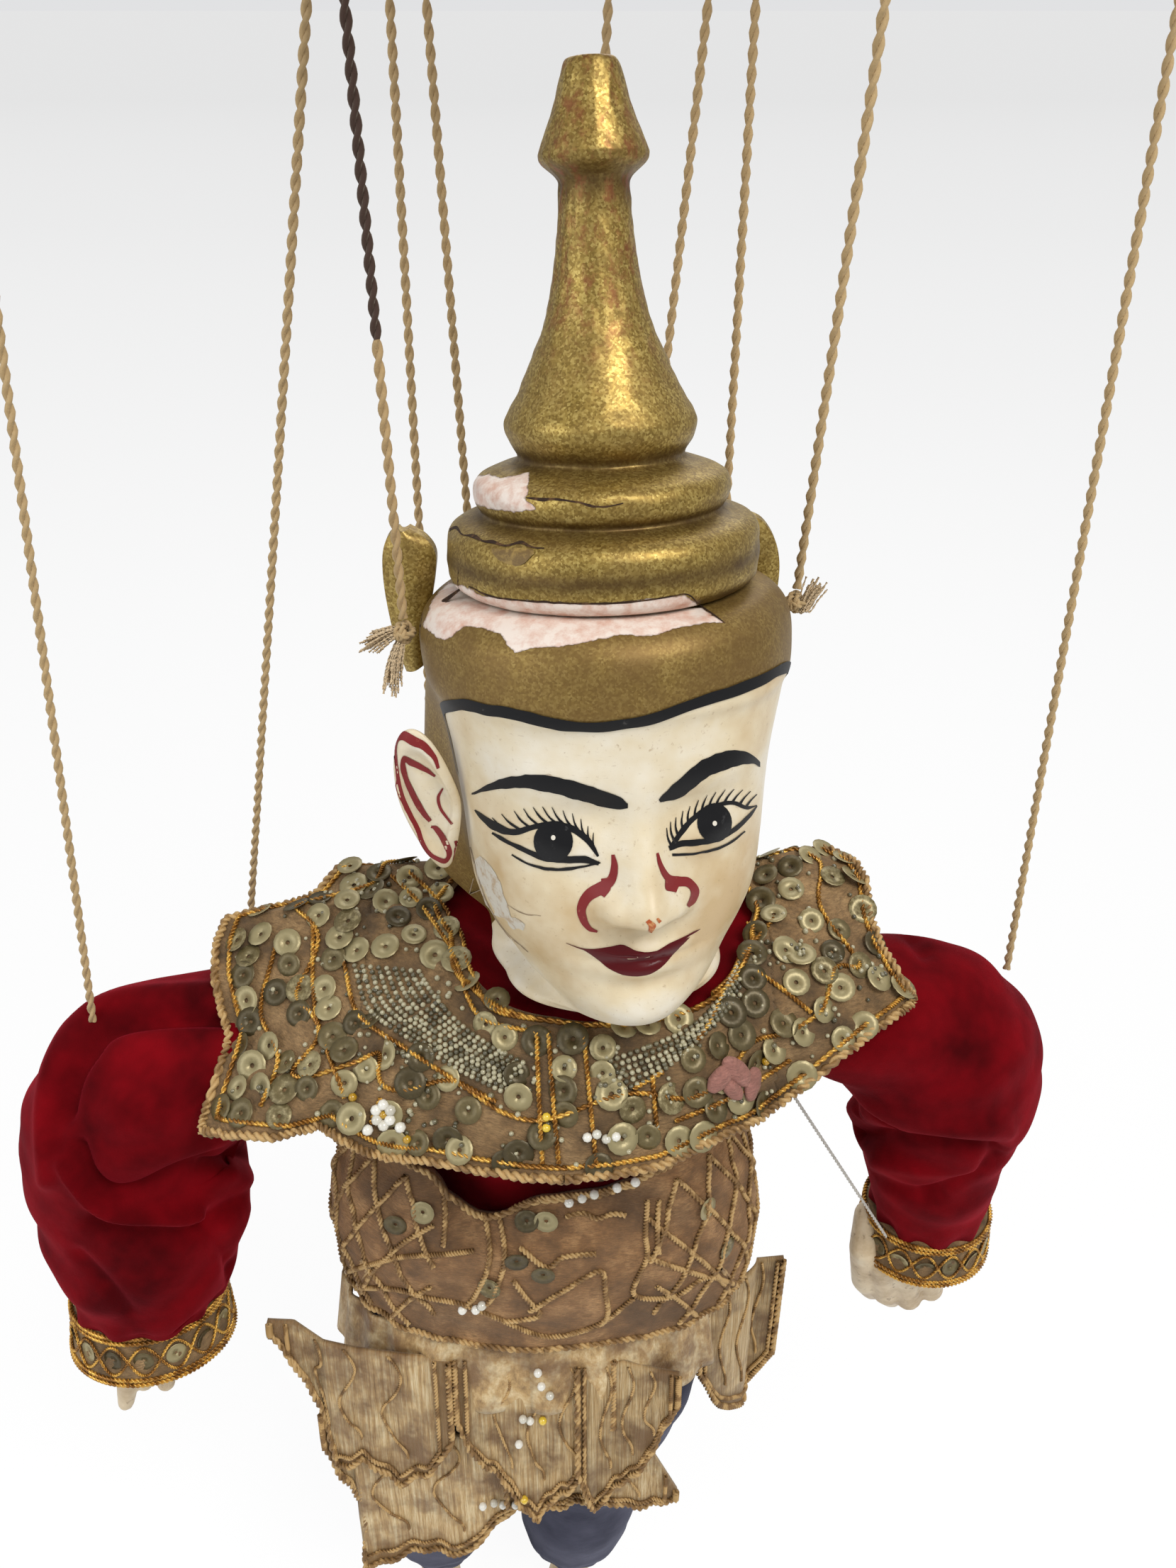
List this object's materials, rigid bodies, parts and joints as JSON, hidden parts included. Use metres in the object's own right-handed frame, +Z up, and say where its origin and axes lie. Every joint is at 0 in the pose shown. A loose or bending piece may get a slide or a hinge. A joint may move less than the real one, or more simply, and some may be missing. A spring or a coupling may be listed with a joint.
{
  "type": "string marionette",
  "caption": "Carved and gilded court figure with a tall ringed crown, beaded cape and velvet sleeves, hung on twine strings from a wooden hand control.",
  "frame": {"origin": "middle of the top face of the hand control's spine, where a hand holds it", "axes": "+Z up; the figure hangs below the origin and faces -Y; +X is the figure's left"},
  "size_m": [0.2603, 0.1519, 0.5413],
  "materials": {
    "bare_wood": "bare, matt",
    "cream_paint": "aged cream paint, satin",
    "gold_paint": "aged gold lacquer, chipped",
    "red_velvet": "velvet",
    "navy_velvet": "velvet",
    "embroidery": "beaded and sequinned cloth",
    "twine": "twisted twine, matt"
  },
  "bodies": {
    "root": {"control_spine": "bare_wood", "control_front_bar": "bare_wood", "control_arm_bar": "bare_wood", "control_rear_bar": "bare_wood", "control_peg_front": "bare_wood", "control_peg_arm": "bare_wood", "control_peg_rear": "bare_wood", "torso": "bare_wood", "neck_cord": "twine", "jacket": "red_velvet", "cape": "embroidery", "waist_panel": "embroidery", "string_temple_right": "twine", "string_temple_left": "twine", "string_shoulder_right": "twine", "string_shoulder_left": "twine", "string_waist_right": "twine", "string_waist_left": "twine", "string_back": "twine", "string_elbow_right": "twine", "string_elbow_left": "twine", "string_hand_right": "twine"},
    "temple_knots": {"temple_knot_right": "twine", "temple_knot_left": "twine"},
    "head": {"head": "cream_paint", "crown": "gold_paint", "crown_wing_right": "gold_paint", "crown_wing_left": "gold_paint"},
    "hips": {"pelvis": "bare_wood", "apron_front": "embroidery", "apron_right": "embroidery", "apron_left": "embroidery", "side_wing_left": "embroidery", "apron_hem_right": "embroidery", "apron_hem_left": "embroidery"},
    "upper_arm_right": {"upper_arm_right": "bare_wood", "sleeve_upper_right": "red_velvet", "string_forearm_right": "twine"},
    "forearm_right": {"forearm_right": "bare_wood", "sleeve_lower_right": "red_velvet", "cuff_right": "embroidery"},
    "hand_right": {"hand_right": "cream_paint"},
    "upper_arm_left": {"upper_arm_left": "bare_wood", "sleeve_upper_left": "red_velvet", "thread_hand_left": "twine"},
    "forearm_left": {"forearm_left": "bare_wood", "sleeve_lower_left": "red_velvet", "cuff_left": "embroidery"},
    "hand_left": {"hand_left": "cream_paint"},
    "thigh_right": {"thigh_right": "bare_wood", "trouser_upper_right": "navy_velvet"},
    "shin_right": {"shin_right": "cream_paint", "trouser_lower_right": "navy_velvet"},
    "thigh_left": {"thigh_left": "bare_wood", "trouser_upper_left": "navy_velvet"},
    "shin_left": {"shin_left": "cream_paint", "trouser_lower_left": "navy_velvet"}
  },
  "joints": [
    {"name": "head_turn", "type": "hinge", "parent": "root", "child": "temple_knots", "pos_m": [0.0032, -0.0017, -0.1607], "axis": [0, 0, 1], "range_deg": [-12, 12], "deforming": ["string_temple_right", "string_temple_left", "neck_cord"]},
    {"name": "head_nod", "type": "hinge", "parent": "temple_knots", "child": "head", "pos_m": [0.0032, -0.0017, -0.1607], "axis": [0.9844, 0.176, -0.0011], "range_deg": [-5, 5], "deforming": ["neck_cord"]},
    {"name": "waist_turn", "type": "hinge", "parent": "root", "child": "hips", "pos_m": [-0.01, -0.008, -0.34], "axis": [0, 0, 1], "range_deg": [-10, 10]},
    {"name": "shoulder_raise_right", "type": "hinge", "parent": "root", "child": "upper_arm_right", "pos_m": [-0.046, -0.002, -0.252], "axis": [0, 1, 0], "range_deg": [0, 30], "deforming": ["sleeve_upper_right", "sleeve_lower_right", "cape", "string_elbow_right", "string_forearm_right", "string_hand_right"]},
    {"name": "elbow_bend_right", "type": "hinge", "parent": "upper_arm_right", "child": "forearm_right", "pos_m": [-0.11035, -0.01104, -0.283], "axis": [-1, 0, 0], "range_deg": [0, 60], "deforming": ["sleeve_upper_right", "sleeve_lower_right", "string_forearm_right"]},
    {"name": "wrist_swing_right", "type": "hinge", "parent": "forearm_right", "child": "hand_right", "pos_m": [-0.11229, -0.02769, -0.35507], "axis": [-1, 0, 0], "range_deg": [-20, 20], "deforming": ["string_forearm_right"]},
    {"name": "shoulder_raise_left", "type": "hinge", "parent": "root", "child": "upper_arm_left", "pos_m": [0.034, -0.002, -0.252], "axis": [0, -1, 0], "range_deg": [0, 30], "deforming": ["sleeve_upper_left", "sleeve_lower_left", "cape", "string_elbow_left", "thread_hand_left"]},
    {"name": "elbow_bend_left", "type": "hinge", "parent": "upper_arm_left", "child": "forearm_left", "pos_m": [0.09767, 0.00582, -0.28469], "axis": [-1, 0, 0], "range_deg": [0, 60], "deforming": ["sleeve_upper_left", "sleeve_lower_left", "thread_hand_left"]},
    {"name": "wrist_swing_left", "type": "hinge", "parent": "forearm_left", "child": "hand_left", "pos_m": [0.09832, 0.00259, -0.35861], "axis": [-1, 0, 0], "range_deg": [-20, 20]},
    {"name": "hip_swing_right", "type": "hinge", "parent": "hips", "child": "thigh_right", "pos_m": [-0.038, -0.01, -0.374], "axis": [-1, 0, 0], "range_deg": [-12, 22], "deforming": ["trouser_upper_right", "trouser_lower_right", "apron_front", "apron_right", "apron_left", "side_wing_left", "apron_hem_right", "apron_hem_left"]},
    {"name": "knee_bend_right", "type": "hinge", "parent": "thigh_right", "child": "shin_right", "pos_m": [-0.04774, -0.01279, -0.45336], "axis": [1, 0, 0], "range_deg": [0, 50], "deforming": ["trouser_upper_right", "trouser_lower_right"]},
    {"name": "hip_swing_left", "type": "hinge", "parent": "hips", "child": "thigh_left", "pos_m": [0.008, -0.01, -0.374], "axis": [-1, 0, 0], "range_deg": [-12, 22], "deforming": ["trouser_upper_left", "trouser_lower_left", "apron_front", "apron_right", "apron_left", "side_wing_left", "apron_hem_right", "apron_hem_left"]},
    {"name": "knee_bend_left", "type": "hinge", "parent": "thigh_left", "child": "shin_left", "pos_m": [-0.00174, -0.01279, -0.45336], "axis": [1, 0, 0], "range_deg": [0, 50], "deforming": ["trouser_upper_left", "trouser_lower_left"]}
  ]
}
